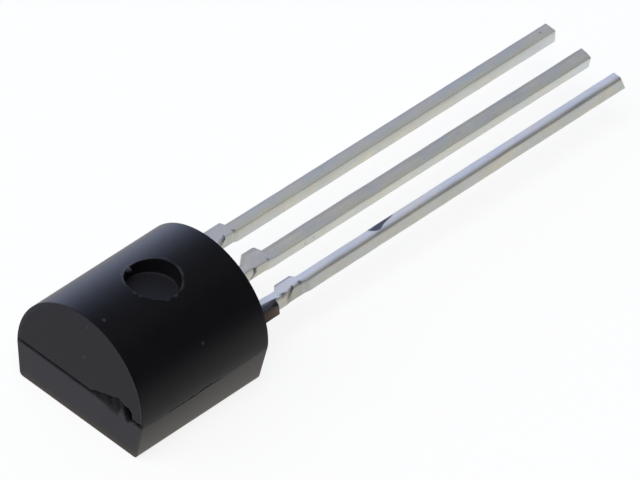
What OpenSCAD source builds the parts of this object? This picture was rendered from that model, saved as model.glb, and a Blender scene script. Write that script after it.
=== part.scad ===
// TO-92 transistor: a moulded body with a flat face and a rounded back, on three straight leads.
// It lies on its flat face: +Z is up through the back, and +Y runs along the leads to their tips.
// The origin is the centre of the flat face. Seen from above with the leads pointing away,
// the left lead is at -X and the right lead at +X.

/* [Body] */
// Width of the moulded body across its parting plane
body_w = 4.48; // [3.72:0.02:5.4]
// Length of the moulded body, from its plain end to its lead end
body_len = 4.6; // [3.8:0.02:5.6]
// Height of the mould's parting plane above the flat face
parting_h = 1.15; // [0.95:0.01:1.4]
// Rise of the rounded back above the parting plane
back_rise = 2.29; // [1.9:0.01:2.75]
// How far each side leans in from the parting plane down to the flat face
side_draft = 0.18; // [0.05:0.01:0.3]
// How far the plain end leans in from the parting plane to the flat face and to the top of the back
plain_end_draft = 0.01; // [0:0.01:0.1]
// How far the lead end leans in from the parting plane down to the flat face
lead_end_draft_low = 0.13; // [0:0.01:0.2]
// How far the lead end leans in from the parting plane up to the top of the back
lead_end_draft_high = 0.09; // [0:0.01:0.2]
// Radius of the two long edges of the flat face
flat_edge_r = 0.12; // [0.04:0.01:0.2]

/* [Mould marks] */
// Height of the fine groove that the mould leaves at the parting plane
seam_h = 0.06; // [0.02:0.01:0.1]
// Depth of that groove
seam_depth = 0.03; // [0.01:0.01:0.05]
// Radius of the round ejector mark in the back
mark_r = 0.74; // [0.5:0.01:0.9]
// Depth of the ejector mark below the top of the back
mark_depth = 0.44; // [0.2:0.01:0.55]
// Sideways offset of the ejector mark from the middle of the back
mark_x = 0.12; // [-0.2:0.01:0.2]
// Width of the scar where the gate was broken off the plain end
gate_w = 1.4; // [0.8:0.02:1.7]
// How far the gate scar reaches above the parting plane
gate_above = 0.36; // [0.2:0.01:0.44]
// How far the gate scar reaches below the parting plane
gate_below = 0.15; // [0.05:0.01:0.2]
// Depth of the gate scar at its deep end, on the right
gate_depth = 0.1; // [0.04:0.01:0.15]
// Distance from the right side of the body to the deep end of the gate scar
gate_from_side = 0.38; // [0.3:0.01:0.5]

/* [Leads] */
// Distance between neighbouring leads, centre to centre
lead_pitch = 1.27; // [1.2:0.01:1.35]
// Width of a lead
lead_w = 0.38; // [0.3:0.01:0.46]
// Thickness of the lead frame
lead_t = 0.38; // [0.3:0.01:0.46]
// How far the underside of the lead frame lies below the parting plane
frame_drop = 0.03; // [0:0.01:0.1]
// Length of the leads outside the body
lead_len = 14.25; // [3:0.05:20]
// Distance from the body to the tie bar that joined the leads before it was cut away
bar_from_body = 1.63; // [1.35:0.01:2.2]
// Size of that tie bar along the leads
bar_w = 0.45; // [0.2:0.01:0.6]
// Width of the stub of the tie bar on the left of the left lead
stub_left = 0.12; // [0:0.01:0.2]
// Width of the stub of the tie bar on the left of the middle lead
stub_middle = 0.17; // [0:0.01:0.2]
// Width of the stub of the tie bar on the left of the right lead
stub_right = 0.13; // [0:0.01:0.2]
// Depth of the nick that cutting the tie bar left on the right of each lead
bar_nick = 0.05; // [0:0.01:0.06]
// How much narrower the neck between body and tie bar is, on its left
neck_set_back = 0.03; // [0:0.01:0.08]
// Width of the ear on the outer side of each outer lead, beside the body
ear_w = 0.13; // [0.02:0.01:0.16]
// Length of that ear outside the body
ear_len = 1.08; // [0.5:0.01:1.3]

/* [Inside] */
// Width of the die paddle on the middle lead
paddle_w = 1.3; // [1:0.02:1.4]
// Length of the die paddle
paddle_len = 1.5; // [1.2:0.02:1.7]
// Distance from the plain end of the body to the die paddle
inner_wall = 0.9; // [0.5:0.02:1.1]
// Clearance between the die paddle and each bond post
post_gap = 0.25; // [0.15:0.01:0.3]
// Length of each bond post
post_len = 0.9; // [0.6:0.02:1.1]
// Side of the square silicon die
die_side = 0.52; // [0.46:0.02:0.8]
// Thickness of the die
die_t = 0.2; // [0.1:0.01:0.3]
// Thickness of the layer that holds the die on the paddle
attach_t = 0.03; // [0.02:0.01:0.05]
// How far that layer shows around the die
attach_rim = 0.04; // [0.02:0.01:0.08]
// Diameter of the bond wires
wire_d = 0.05; // [0.04:0.01:0.08]
// Height of a wire's loop above the die
loop_h = 0.3; // [0.2:0.01:0.5]
// Radius of the bends in a wire, to its middle
loop_r = 0.12; // [0.08:0.01:0.15]
// Diameter of the flattened bond at each end of a wire
bond_d = 0.12; // [0.1:0.01:0.16]
// Thickness of that bond
bond_t = 0.03; // [0.02:0.01:0.05]
// Distance from the middle of the die to each bond on it
bond_x = 0.13; // [0.1:0.01:0.14]

/* [Hidden] */

LEFT = -1;
RIGHT = 1;
ROUND = 96;
FINE = 32;
OVER = 1;
EPOXY = "#26272b";
TIN = "#aeb0b4";

// Body
half_w = body_w / 2;
plain_y = -body_len / 2;
lead_y = body_len / 2;
top_z = parting_h + back_rise;
// The back is one arc through both sides at the parting plane and through the top.
back_r = (half_w * half_w + back_rise * back_rise) / (2 * back_rise);
flat_half = half_w - side_draft;
side_lean = atan2(side_draft, parting_h);
// A round of this radius is tangent to the flat face this far in from the corner.
edge_in = flat_edge_r * tan((90 - side_lean) / 2);

// Lead frame
frame_z = parting_h - frame_drop;
frame_top = frame_z + lead_t;
edge_x = lead_w / 2;
bar_y = lead_y + bar_from_body;
bar_end = bar_y + bar_w;
tip_y = lead_y + lead_len;
paddle_y = plain_y + inner_wall;
paddle_end = paddle_y + paddle_len;
post_inner_x = paddle_w / 2 + post_gap;
post_outer_x = lead_pitch + edge_x + ear_w;

// Die and wires, which all lie across the middle of the bond posts
die_y = paddle_end - post_len / 2;
die_z = frame_top + attach_t;
die_top = die_z + die_t;
loop_z = die_top + loop_h;
post_bond_x = (post_inner_x + post_outer_x) / 2;

// Extrudes an outline drawn in X and Z along Y, from y0 to y1.
module along_y(y0, y1) {
    translate([0, y1, 0])
        rotate([90, 0, 0])
            linear_extrude(y1 - y0)
                children();
}

// Extrudes an outline drawn in Y and Z along X, past both sides of the body.
module across_body() {
    translate([-half_w - OVER, 0, 0])
        rotate([90, 0, 90])
            linear_extrude(body_w + 2 * OVER)
                children();
}

// Extrudes an outline drawn in X and Y through the thickness of the lead frame.
module in_frame() {
    translate([0, 0, frame_z])
        linear_extrude(lead_t)
            children();
}

// What a round takes off the right-hand long edge of the flat face.
module flat_edge_cut() {
    reach = flat_edge_r + OVER;
    translate([flat_half - edge_in, flat_edge_r])
        difference() {
            polygon([
                [0, 0],
                [0, -reach],
                [reach, -reach],
                [reach * cos(side_lean), -reach * sin(side_lean)]
            ]);
            circle(r = flat_edge_r, $fn = ROUND);
        }
}

// End view of the body: the drafted base below the parting plane and the rounded back above it.
module end_outline() {
    difference() {
        polygon([
            [-flat_half, 0],
            [flat_half, 0],
            [half_w, parting_h],
            [-half_w, parting_h]
        ]);
        flat_edge_cut();
        mirror([1, 0])
            flat_edge_cut();
    }
    intersection() {
        translate([0, top_z - back_r])
            circle(r = back_r, $fn = ROUND);
        translate([-body_w, parting_h])
            square([2 * body_w, back_rise + OVER]);
    }
}

// Side view of the body, with the draft of both halves of the mould at both ends.
module side_outline() {
    polygon([
        [plain_y + plain_end_draft, 0],
        [lead_y - lead_end_draft_low, 0],
        [lead_y, parting_h],
        [lead_y - lead_end_draft_high, top_z],
        [plain_y + plain_end_draft, top_z],
        [plain_y, parting_h]
    ]);
}

// The groove at the parting plane, as a ring around the body.
module seam() {
    translate([0, 0, parting_h - seam_h / 2])
        linear_extrude(seam_h)
            difference() {
                square([body_w + OVER, body_len + OVER], center = true);
                square([body_w - 2 * seam_depth, body_len - 2 * seam_depth], center = true);
            }
}

module ejector_mark() {
    translate([mark_x, 0, top_z - mark_depth])
        cylinder(r = mark_r, h = mark_depth + OVER, $fn = ROUND);
}

// A shallow broken hollow in the plain end, which deepens from its left tip to its right end.
module gate_scar() {
    deep_x = half_w - gate_from_side;
    tip_x = deep_x - gate_w;
    intersection() {
        along_y(plain_y - OVER, plain_y + OVER)
            polygon([
                [tip_x, parting_h],
                [tip_x + gate_w * 0.2, parting_h - gate_below * 0.8],
                [tip_x + gate_w * 0.95, parting_h - gate_below],
                [deep_x, parting_h + gate_above * 0.6],
                [tip_x + gate_w * 0.85, parting_h + gate_above],
                [tip_x + gate_w * 0.2, parting_h + gate_above * 0.6]
            ]);
        linear_extrude(top_z)
            polygon([
                [tip_x, plain_y - OVER],
                [deep_x + OVER, plain_y - OVER],
                [deep_x + OVER, plain_y + gate_depth],
                [deep_x, plain_y + gate_depth],
                [tip_x, plain_y]
            ]);
    }
}

module body() {
    color(EPOXY)
        difference() {
            intersection() {
                along_y(plain_y - OVER, lead_y + OVER)
                    end_outline();
                across_body()
                    side_outline();
            }
            seam();
            ejector_mark();
            gate_scar();
            lead_left();
            lead_middle();
            lead_right();
            die_attach();
            die();
            bond_wire_left();
            bond_wire_right();
        }
}

// Plan of one lead about its own centre line, from inner_y in the body to its tip. The cut tie bar
// leaves a stub with a slanting far corner on the left, and a nick on the right.
module lead_outline(inner_y, stub_w) {
    polygon([
        [-edge_x, inner_y],
        [edge_x, inner_y],
        [edge_x, bar_y],
        [edge_x - bar_nick, bar_y],
        [edge_x - bar_nick, bar_end],
        [edge_x, bar_end],
        [edge_x, tip_y],
        [-edge_x, tip_y],
        [-edge_x, bar_end],
        [-edge_x - stub_w, bar_end - stub_w / 2],
        [-edge_x - stub_w, bar_y],
        [-edge_x + neck_set_back, bar_y],
        [-edge_x + neck_set_back, lead_y],
        [-edge_x, lead_y]
    ]);
}

// Plan of the bond post inside the body and the ear beside it, on the outer side of an outer lead.
module post_outline(side) {
    post_y = paddle_end - post_len;
    mirror([side == LEFT ? 1 : 0, 0]) {
        translate([post_inner_x, post_y])
            square([post_outer_x - post_inner_x, post_len]);
        translate([lead_pitch, post_y])
            square([post_outer_x - lead_pitch, lead_y + ear_len - post_y]);
    }
}

module outer_lead(side, stub_w) {
    color(TIN)
        in_frame() {
            translate([side * lead_pitch, 0])
                lead_outline(paddle_end - post_len, stub_w);
            post_outline(side);
        }
}

module lead_left() {
    outer_lead(LEFT, stub_left);
}

module lead_right() {
    outer_lead(RIGHT, stub_right);
}

// The middle lead carries the die paddle.
module lead_middle() {
    color(TIN)
        in_frame() {
            lead_outline(die_y, stub_middle);
            translate([-paddle_w / 2, paddle_y])
                square([paddle_w, paddle_len]);
        }
}

module die_attach() {
    side = die_side + 2 * attach_rim;
    color("#8c8f94")
        translate([-side / 2, die_y - side / 2, frame_top])
            cube([side, side, attach_t]);
}

module die() {
    color("#4a4e58")
        translate([-die_side / 2, die_y - die_side / 2, die_z])
            cube([die_side, die_side, die_t]);
}

module upright_wire(x, z0, z1) {
    translate([x, die_y, z0])
        cylinder(d = wire_d, h = z1 - z0, $fn = FINE);
}

module flat_bond(x, z) {
    translate([x, die_y, z])
        cylinder(d = bond_d, h = bond_t, $fn = FINE);
}

// A quarter bend about a line along Y through x and z, from start degrees round from +X.
module wire_bend(x, z, start) {
    translate([x, die_y, z])
        rotate([90, 0, 0])
            rotate([0, 0, start])
                rotate_extrude(angle = 90, $fn = ROUND)
                    translate([loop_r, 0])
                        circle(d = wire_d, $fn = FINE);
}

// A wire rises from its bond on the die, runs level and drops to its bond on the post.
module bond_wire(side) {
    inner = side * bond_x;
    outer = side * post_bond_x;
    low = min(inner, outer);
    high = max(inner, outer);
    bend_z = loop_z - loop_r;
    color("#d9b44a") {
        flat_bond(inner, die_top);
        flat_bond(outer, frame_top);
        upright_wire(inner, die_top + bond_t, bend_z);
        upright_wire(outer, frame_top + bond_t, bend_z);
        wire_bend(low + loop_r, bend_z, 90);
        wire_bend(high - loop_r, bend_z, 0);
        translate([low + loop_r, die_y, loop_z])
            rotate([0, 90, 0])
                cylinder(d = wire_d, h = high - low - 2 * loop_r, $fn = FINE);
    }
}

module bond_wire_left() {
    bond_wire(LEFT);
}

module bond_wire_right() {
    bond_wire(RIGHT);
}

body();
lead_left();
lead_middle();
lead_right();
die_attach();
die();
bond_wire_left();
bond_wire_right();
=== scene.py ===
"""TO-92 transistor: fine meshes and materials for the moulded body and its three leads.

The object rests on its flat face, +Z is up through the rounded back and +Y runs along the leads.
Lengths below are in millimetres unless a comment says otherwise; meshes are scaled to metres.
"""

import math

import bpy
import numpy as np
from mathutils import Matrix, Vector, noise


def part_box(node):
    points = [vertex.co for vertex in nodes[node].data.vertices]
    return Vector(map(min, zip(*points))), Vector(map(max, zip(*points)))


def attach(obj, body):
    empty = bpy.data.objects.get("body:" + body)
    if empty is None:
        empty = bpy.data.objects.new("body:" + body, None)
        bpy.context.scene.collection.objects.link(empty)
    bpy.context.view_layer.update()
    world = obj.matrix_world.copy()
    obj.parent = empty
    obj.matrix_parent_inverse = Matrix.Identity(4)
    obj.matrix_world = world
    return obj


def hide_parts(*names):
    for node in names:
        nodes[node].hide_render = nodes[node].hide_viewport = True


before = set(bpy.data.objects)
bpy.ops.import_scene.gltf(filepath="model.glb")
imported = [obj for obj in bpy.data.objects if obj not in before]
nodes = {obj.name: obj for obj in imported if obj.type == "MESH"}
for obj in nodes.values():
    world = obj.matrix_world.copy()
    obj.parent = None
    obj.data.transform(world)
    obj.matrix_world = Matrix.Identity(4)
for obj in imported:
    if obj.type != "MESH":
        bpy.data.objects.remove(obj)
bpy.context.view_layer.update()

MM = 0.001
# Angles over a quarter turn, for the small rounds.
QUARTER = np.linspace(0, math.pi / 2, 5)


def box_mm(node):
    """Lowest and highest corner of a CAD node, in millimetres."""
    lo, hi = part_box(node)
    return np.array(lo) / MM, np.array(hi) / MM


# Body sizes: the outer ones come from the CAD box, the rest are the mould's own.
BODY_LO, BODY_HI = box_mm("body")
HALF_W = round(float(BODY_HI[0]), 2)
TOP_Z = float(BODY_HI[2])
PLAIN_Y = round(float(BODY_LO[1]), 2) + 0.0003
LEAD_Y = round(float(BODY_HI[1]), 2) - 0.001
PARTING_Z = 1.15
# Half width of the flat face and radius of its long edge, on the left and on the right.
FLAT_LEFT = (HALF_W - 0.17, 0.12)
FLAT_RIGHT = (HALF_W - 0.105, 0.1)
LEAD_END_DRAFT_LOW = 0.13
LEAD_END_DRAFT_HIGH = 0.09
PLAIN_END_DRAFT = 0.01
BACK_R = (HALF_W**2 + (TOP_Z - PARTING_Z) ** 2) / (2 * (TOP_Z - PARTING_Z)) - 0.0001
BACK_Z = TOP_Z - BACK_R
END_R = 0.008
# Below the parting plane the sides turn into their lean over twice this height.
SIDE_ROUND = 0.07
SEAM_STEP = 0.0108
MARK_X = 0.12
MARK_FLOOR = TOP_Z - 0.44


# ---- mesh helpers


def ease(a, b, x):
    """0 before a and 1 beyond b, with a smooth rise between; a may be the greater."""
    t = np.clip((np.asarray(x, float) - a) / (b - a), 0, 1)
    return t * t * (3 - 2 * t)


def bump(x, centre, half):
    """1 at the centre, falling smoothly to 0 at half a width away."""
    return ease(1, 0, np.abs((np.asarray(x, float) - centre) / half))


def wobble(points, scale, seed):
    """Smooth noise between about -1 and 1 at each point, the same on every run."""
    shift = Vector((seed * 7.3, seed * 3.1, seed * 5.7))
    return np.array([noise.noise(Vector(p) * scale + shift) for p in points])


def new_object(name, data):
    obj = bpy.data.objects.new(name, data)
    bpy.context.collection.objects.link(obj)
    return obj


def to_object(name, verts, faces, attributes):
    """A smooth-shaded mesh object from millimetre points, riding on the root body."""
    mesh = bpy.data.meshes.new(name)
    mesh.from_pydata([tuple(v) for v in np.asarray(verts) * MM], [], faces)
    mesh.validate()
    mesh.polygons.foreach_set("use_smooth", [True] * len(mesh.polygons))
    for key, values in attributes.items():
        layer = mesh.attributes.new(key, "FLOAT", "POINT")
        layer.data.foreach_set("value", np.asarray(values, np.float32))
    mesh.update()
    obj = new_object(name, mesh)
    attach(obj, "root")
    return obj


def ring_quads(a, b):
    """Quads between two closed rings of vertex numbers."""
    n = len(a)
    return [(a[i], a[(i + 1) % n], b[(i + 1) % n], b[i]) for i in range(n)]


# ---- body


def outline_half(flat_half, edge_r):
    """One half of the body's end view, bottom to top, as if on the right: x, z and the outward normal."""
    lean = math.atan2(HALF_W - flat_half, PARTING_Z - SIDE_ROUND)
    reach = edge_r * math.tan((math.pi / 2 - lean) / 2)
    points = []
    for a in np.linspace(0, math.pi / 2 - lean, 7):
        nx, nz = math.sin(a), -math.cos(a)
        points.append((flat_half - reach + edge_r * nx, edge_r * (1 + nz), nx, nz))
    # The points lie closest together about the parting line.
    side_z = [*np.arange(0.16, 0.9, 0.05), *np.arange(0.9, 1.0, 0.02), *np.arange(1.0, 1.15, SEAM_STEP)]
    for z in side_z:
        below = PARTING_Z - z
        turned = min(below / (2 * SIDE_ROUND), 1)
        inset = below**2 / (4 * SIDE_ROUND) if turned < 1 else below - SIDE_ROUND
        angle = math.atan(math.tan(lean) * turned)
        points.append((HALF_W - math.tan(lean) * inset, z, math.cos(angle), -math.sin(angle)))
    back_z = [*np.arange(1.15, 1.22, SEAM_STEP), *np.arange(1.235, 1.6, 0.02)]
    for z in back_z:
        x = math.sqrt(BACK_R**2 - (z - BACK_Z) ** 2)
        points.append((x, z, x / BACK_R, (z - BACK_Z) / BACK_R))
    start = math.asin((back_z[-1] - BACK_Z) / BACK_R)
    for a in np.linspace(start, math.pi / 2, 76)[1:]:
        points.append((BACK_R * math.cos(a), BACK_Z + BACK_R * math.sin(a), math.cos(a), math.sin(a)))
    points[-1] = (0.0, TOP_Z, 0.0, 1.0)
    return np.array(points)


def end_y(z, lead_end):
    """Where the plain or the lead end of the body lies at height z, with the mould's draft."""
    if not lead_end:
        low, high, sign, y = PLAIN_END_DRAFT, PLAIN_END_DRAFT, 1, PLAIN_Y
    else:
        low, high, sign, y = LEAD_END_DRAFT_LOW, LEAD_END_DRAFT_HIGH, -1, LEAD_Y
    z = np.asarray(z, float)
    below = low * (PARTING_Z - z) / PARTING_Z
    above = high * (z - PARTING_Z) / (TOP_Z - PARTING_Z)
    return y + sign * np.where(z < PARTING_Z, below, above)


def polygon_distance(x, z, corners):
    """Signed distance to a polygon in X and Z, positive inside."""
    corners = np.array(corners)
    inside = np.zeros(len(x), bool)
    nearest = np.full(len(x), 1e9)
    for (ax, az), (bx, bz) in zip(corners, np.roll(corners, -1, 0)):
        along = ((x - ax) * (bx - ax) + (z - az) * (bz - az)) / ((bx - ax) ** 2 + (bz - az) ** 2)
        t = np.clip(along, 0, 1)
        nearest = np.minimum(nearest, np.hypot(x - ax - t * (bx - ax), z - az - t * (bz - az)))
        crosses = ((az > z) != (bz > z)) & (x < (bx - ax) * (z - az) / (bz - az + 1e-12) + ax)
        inside ^= crosses
    return np.where(inside, nearest, -nearest)


# The broken gate on the plain end: its lower and upper edge as X and Z, and the slot at its right.
SCAR_LOW = np.array([
    (0.4, 1.16), (0.49, 1.15), (0.65, 1.07), (0.9, 1.06), (1.12, 0.99), (1.42, 0.96), (1.48, 1.2),
    (1.52, 1.31), (1.62, 1.37), (1.76, 1.4),
])
SCAR_HIGH = np.array([
    (0.4, 1.2), (0.55, 1.27), (0.73, 1.33), (1.08, 1.42), (1.39, 1.53), (1.58, 1.5), (1.76, 1.48),
])
SLOT = [
    (1.57, 1.38), (1.61, 1.28), (1.65, 1.16), (1.69, 1.05), (1.74, 1.0), (1.8, 1.03), (1.86, 1.15),
    (1.885, 1.26), (1.87, 1.36), (1.81, 1.44), (1.72, 1.48), (1.62, 1.45),
]
SLOT_DEPTH = 0.25
GROOVE_HALF = 0.05
GROOVE_DEPTH = 0.085


def scar(x, z):
    """Depth of the broken gate and how torn it is: a step that is deepest under its upper edge."""
    points = np.column_stack([x, np.zeros(len(x)), z])
    low = np.interp(x, *SCAR_LOW.T)
    high = np.interp(x, *SCAR_HIGH.T) + 0.025 * wobble(points * [1, 0, 0], 6, 9)
    up = (z - low) / (high - low)
    across = ease(0.46, 0.58, x) * ease(1.78, 1.72, x)
    rough = wobble(points, 7, 1) * 0.6 + wobble(points, 17, 2) * 0.45
    rise = np.clip(up, 0, 1) ** 1.5 * ease(1.1, 0.98, up)
    depth = across * np.maximum(rise * (0.13 + 0.08 * ease(0.5, 1.4, x) + 0.07 * rough), 0)
    return depth, across * ease(-0.1, 0.25, up) * ease(1.1, 0.95, up)


def plain_end_depth(x, z):
    """Depth of the marks in the plain end, how torn the surface is there, and how much painted shade its
    groove and slot take.
    """
    hollow, torn = scar(x, z)
    slot = ease(-0.01, 0.022, polygon_distance(x, z, SLOT))
    along = np.column_stack([x, np.zeros(len(x)), np.zeros(len(x))])
    waver = wobble(along, 2.5, 5) * 0.008 + wobble(along, 9, 6) * 0.006
    # The parting groove is shallow at the far left, deepest right of the slot and gone from the scar.
    right = ease(1.7, 1.85, x)
    half = GROOVE_HALF + 0.004 * right
    apart = np.abs(z - waver - PARTING_Z)
    groove = ease(half + 0.014, half - 0.006, apart) * (1 - torn) * (1 - slot)
    groove *= 0.35 + 0.65 * ease(-HALF_W, 0.2 - HALF_W, x)
    groove *= 1 - ease(0.5, 0.62, x) * ease(1.82, 1.76, x)
    depth = groove * (GROOVE_DEPTH + 0.095 * right) + hollow * (1 - slot) + slot * SLOT_DEPTH
    return depth, np.maximum(torn, slot), np.maximum(groove * (0.85 + 0.15 * right), slot * 0.75)


# Cross-section of the ejector mark's rim: how far outside the wall, and how high above the skin.
RIM_PROFILE = (
    (0.085, 0.0), (0.07, 0.003), (0.056, 0.009), (0.042, 0.012), (0.03, 0.011), (0.018, 0.006),
    (0.008, -0.003), (0.001, -0.014), (0.0, -0.032),
)
RIM_R = 0.717
RIM_CENTRE = np.array([0.11, 0.045])
FLOOR_CENTRE = np.array([MARK_X, 0.0])
FLOOR_ROUND = 0.03
WALL_DRAFT = 0.035
# The mark is a little wider towards this angle.
WIDER_ANGLE = math.radians(60)
WIDER = 0.05
# A burr hangs over the wall at this angle, in radians, and leans round on its way down.
BURR_ANGLE = math.radians(182)
BURR_LEAN = math.radians(20)
BURR_HALF = 0.045
BURR_REACH = 0.15
BURR_LIFT = 0.012
# Places round the rim painted pale, standing in for highlights on its lip, which also rises there: angle,
# half width in degrees, and how pale.
RIM_HIGHLIGHTS = (
    (186, 14, 0.9), (212, 24, 1.0), (240, 22, 1.0), (279, 5, 0.8), (292, 5, 0.6), (346, 9, 0.45),
    (8, 6, 0.9), (36, 22, 0.55), (66, 26, 0.55), (105, 20, 0.25),
)
# Where the mark's rings lie: over the skin beside the rim and down the wall as shares of the way, and
# over the floor as radii.
SKIN_STEPS = (0.2, 0.38, 0.54, 0.68, 0.8, 0.9)
WALL_STEPS = (0.05, 0.11, 0.18, 0.27, 0.4, 0.55, 0.7, 0.82, 0.92)
FLOOR_RADII = (0.62, 0.56, 0.49, 0.41, 0.33, 0.25, 0.16, 0.08)


def turn_from(angles, centre):
    """How far each angle is from a centre, in radians, the short way round."""
    return np.abs((angles - centre + math.pi) % (2 * math.pi) - math.pi)


def rim_wear(around):
    """How pale the rim is painted at each angle: painted highlights."""
    wear = np.zeros(len(around))
    for angle, half, amount in RIM_HIGHLIGHTS:
        near = ease(math.radians(half), 0, turn_from(around, math.radians(angle)))
        wear = np.maximum(wear, amount * near)
    return wear


def skin_z(x):
    """Height of the rounded back."""
    return BACK_Z + np.sqrt(BACK_R**2 - x**2)


def mark_rings(outer):
    """Rings of the ejector mark from the back's skin inwards: points in plan, heights, matte, and pale paint
    for its painted highlights and its burr.
    """
    away = outer - RIM_CENTRE
    around = np.arctan2(away[:, 1], away[:, 0])
    away = away / np.linalg.norm(away, axis=1)[:, None]
    wear = rim_wear(around)
    circle = np.column_stack([np.cos(around), np.sin(around), np.zeros(len(around))])
    bumpy = 0.75 + 0.55 * wobble(circle, 4.0, 12) + 0.35 * wobble(circle, 11.0, 13)
    lip = np.clip(wear * 1.3, 0.02, 1.0) * np.clip(bumpy, 0.3, 1.6)
    radius = RIM_R + WIDER * np.maximum(np.cos(around - WIDER_ANGLE), 0) ** 2

    def burr_at(share):
        """How much burr each angle has, at a share of the way down the rim."""
        return np.sqrt(ease(BURR_HALF, 0, turn_from(around, BURR_ANGLE + BURR_LEAN * share)))

    rings = []
    start = RIM_CENTRE + away * (radius + RIM_PROFILE[0][0])[:, None]
    for t in SKIN_STEPS:
        plan = outer * (1 - t) + start * t
        rings.append((plan, skin_z(plan[:, 0]), 0.0, 0.0))
    for step, (offset, height) in enumerate(RIM_PROFILE):
        burr = burr_at(step / len(RIM_PROFILE))
        inward = burr * BURR_REACH * ease(1, 8, step)
        plan = RIM_CENTRE + away * (radius + offset - inward)[:, None]
        lift = height * (lip if height > 0 else 1.0) + burr * BURR_LIFT * ease(1, 5, step)
        z = np.minimum(np.minimum(skin_z(plan[:, 0]), skin_z(MARK_X)) + lift, TOP_Z)
        share = float(ease(0, 2, step) * ease(8.5, 6, step))
        # The rim is painted paler and more matte where its lip would catch the light: painted highlights; the
        # burr is pale too.
        rings.append((plan, z, 0.3 * share * wear, np.maximum(wear, burr**2) * share))
    rim_z, burr = rings[-1][1], burr_at(1.0)
    for t in WALL_STEPS:
        inward = burr * BURR_REACH * ease(0.12, 0.03, t)
        middle = RIM_CENTRE * (1 - t) + FLOOR_CENTRE * t
        plan = middle + away * (radius - WALL_DRAFT * t - inward)[:, None]
        z = rim_z * (1 - t) + (MARK_FLOOR + FLOOR_ROUND) * t
        rings.append((plan, z, 0.3, burr * float(ease(0.15, 0, t))))
    for a in QUARTER[1:]:
        plan = FLOOR_CENTRE + away * (radius - WALL_DRAFT - FLOOR_ROUND * (1 - math.cos(a)))[:, None]
        rings.append((plan, np.full(len(away), MARK_FLOOR + FLOOR_ROUND * (1 - math.sin(a))), 1.0, 0.0))
    for r in FLOOR_RADII:
        rings.append((FLOOR_CENTRE + away * r, np.full(len(away), MARK_FLOOR), 1.0, 0.0))
    return rings


# The ends' rows and the flat face have points at these shares of the way from left to right, closest
# together where the scar is.
RUNS = ((-1, -0.9, 9), (-0.9, 0.15, 24), (0.15, 0.9, 88), (0.9, 1, 7))
ACROSS = np.unique(np.concatenate([np.linspace(*run) for run in RUNS]))
ACROSS = (ACROSS[:, None] + 1) / 2
# The ejector mark and its surroundings take up this much of the back to each side and along it.
PATCH_X = 1.08
PATCH_Y = 1.0
END_MATTE = 0.8
SEAM_SAG = 0.07
SEAM_DEPTH = 0.018
DISH_DEPTH = 0.012


class Shell:
    """The body's points, each with its normal, how matte it is, how pale it is painted for wear and
    highlights, and the faces between.
    """

    def __init__(self):
        self.points, self.normals, self.matte, self.wear, self.faces = [], [], [], [], []

    def add(self, points, normals, matte, wear=0.0):
        start, count = len(self.points), len(points)
        self.points.extend(map(tuple, points))
        self.normals.extend(map(tuple, normals))
        self.matte.extend(np.broadcast_to(matte, count))
        self.wear.extend(np.broadcast_to(wear, count))
        return list(range(start, start + count))


def sweep(shell, outline):
    """Adds rings along the body, with a small round into each end, and returns them."""
    side_x, side_z, out_x, out_z = outline.T

    def ring(t, into, inset, lean):
        """A ring at a share of the way along; into is its distance from the end, lean its normal's Y."""
        x, z = side_x - out_x * inset, side_z - out_z * inset
        y = (end_y(z, False) + into) * (1 - t) + (end_y(z, True) - into) * t
        upright = math.sqrt(1 - lean**2)
        normals = np.column_stack([out_x * upright, np.full(len(x), lean), out_z * upright])
        return shell.add(np.column_stack([x, y, z]), normals, END_MATTE * abs(lean))

    turn = [(END_R * (1 - math.sin(a)), END_R * (1 - math.cos(a)), math.sin(a)) for a in QUARTER]
    rings = [ring(0, into, inset, -lean) for into, inset, lean in turn[::-1]]
    rings += [ring(t, END_R, 0, 0) for t in np.linspace(0, 1, 84)[1:-1]]
    return rings + [ring(1, into, inset, lean) for into, inset, lean in turn]


def join_rings(shell, rings, right):
    """Closes the skin between the rings, and returns the edge of the patch left open for the mark."""
    base = len(ACROSS) - 1
    wide = int(np.argmin(np.abs(right[:, 0] - PATCH_X) + 10 * (right[:, 1] < 2)))
    low, high = base + wide, base + 2 * (len(right) - 1) - wide
    near = [j for j, ring in enumerate(rings) if abs(shell.points[ring[low]][1]) < PATCH_Y]
    first, last = near[0], near[-1]
    for j, (ring, after) in enumerate(zip(rings, rings[1:])):
        for i, quad in enumerate(ring_quads(ring, after)):
            if not (first <= j < last and low <= i < high):
                shell.faces.append(quad)
    edge = [rings[first][i] for i in range(low, high)]
    edge += [rings[j][high] for j in range(first, last)]
    edge += [rings[last][i] for i in range(high, low, -1)]
    return edge + [rings[j][low] for j in range(last, first, -1)]


def add_mark(shell, edge):
    """Fills the patch inside an edge with the ejector mark."""
    previous = edge
    for plan, z, matte, wear in mark_rings(np.array([shell.points[i][:2] for i in edge])):
        ids = shell.add(np.column_stack([plan, z]), np.zeros((len(z), 3)), matte, wear)
        shell.faces += ring_quads(previous, ids)
        previous = ids
    hub = shell.add([(MARK_X, 0.0, MARK_FLOOR)], [(0, 0, 0)], 1.0)[0]
    shell.faces += [(a, b, hub) for a, b in zip(previous, previous[1:] + previous[:1])]


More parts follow.
